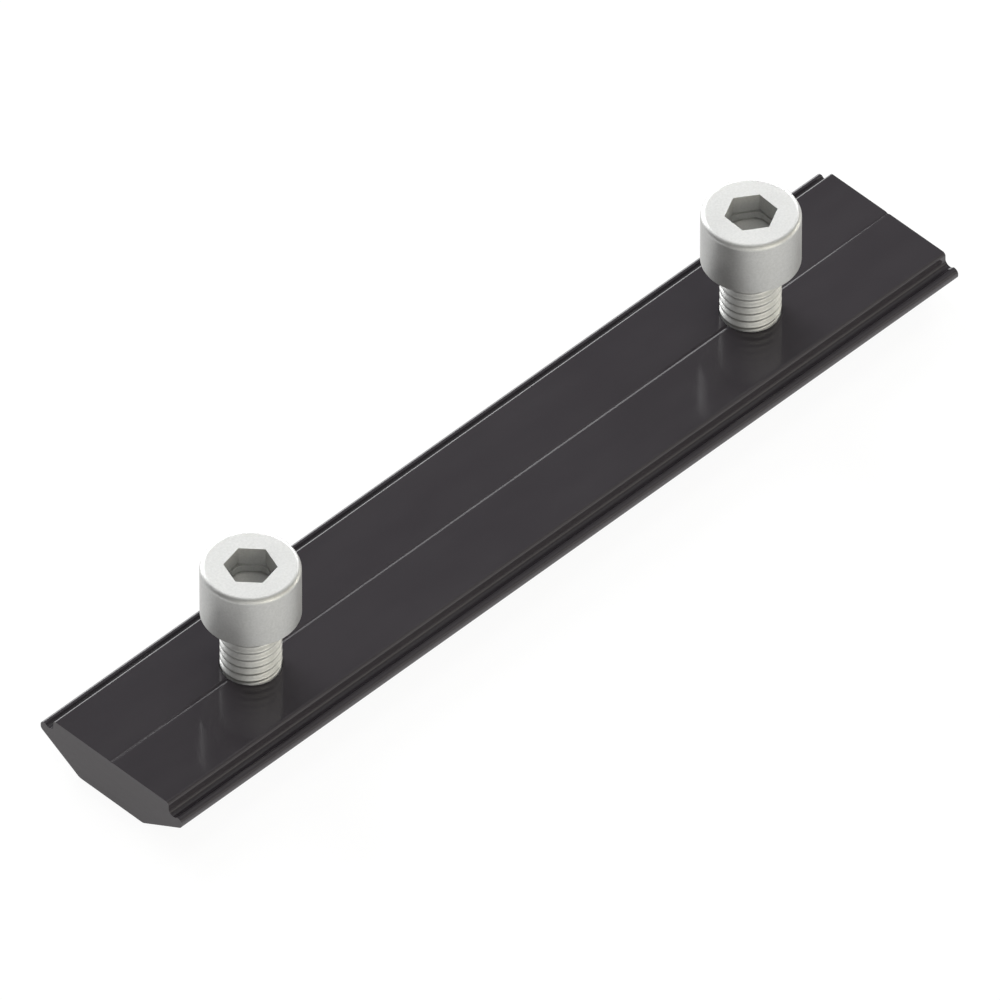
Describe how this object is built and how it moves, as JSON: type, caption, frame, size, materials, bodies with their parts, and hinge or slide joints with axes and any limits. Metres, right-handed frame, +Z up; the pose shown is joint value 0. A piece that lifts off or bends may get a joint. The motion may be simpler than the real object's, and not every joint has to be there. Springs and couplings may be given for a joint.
{
  "type": "solar rail splice",
  "caption": "Extruded aluminium keel bar with a hook groove along each side and socket head cap screws that clamp it inside the ends of two mounting rails.",
  "frame": {"origin": "middle of the keel flat that the bar rests on, midway between the two screws", "axes": "+X along the bar, +Y across it, +Z up out of the keel towards the screw heads"},
  "size_m": [0.14, 0.0254, 0.0244],
  "materials": {
    "black_anodised": "matt black anodised extrusion with saw-cut ends",
    "stainless": "plain stainless steel, satin, with a bright turned edge on the head"
  },
  "bodies": {
    "bar": {"splice_bar": "black_anodised"},
    "left_screw": {"left_cap_screw": "stainless"},
    "right_screw": {"right_cap_screw": "stainless"}
  },
  "joints": [
    {"name": "left_screw_travel", "type": "slide", "parent": "bar", "child": "left_screw", "axis": [0, 0, 1], "range_m": [-0.0095, 0.006]},
    {"name": "right_screw_travel", "type": "slide", "parent": "bar", "child": "right_screw", "axis": [0, 0, 1], "range_m": [-0.0095, 0.006]}
  ]
}
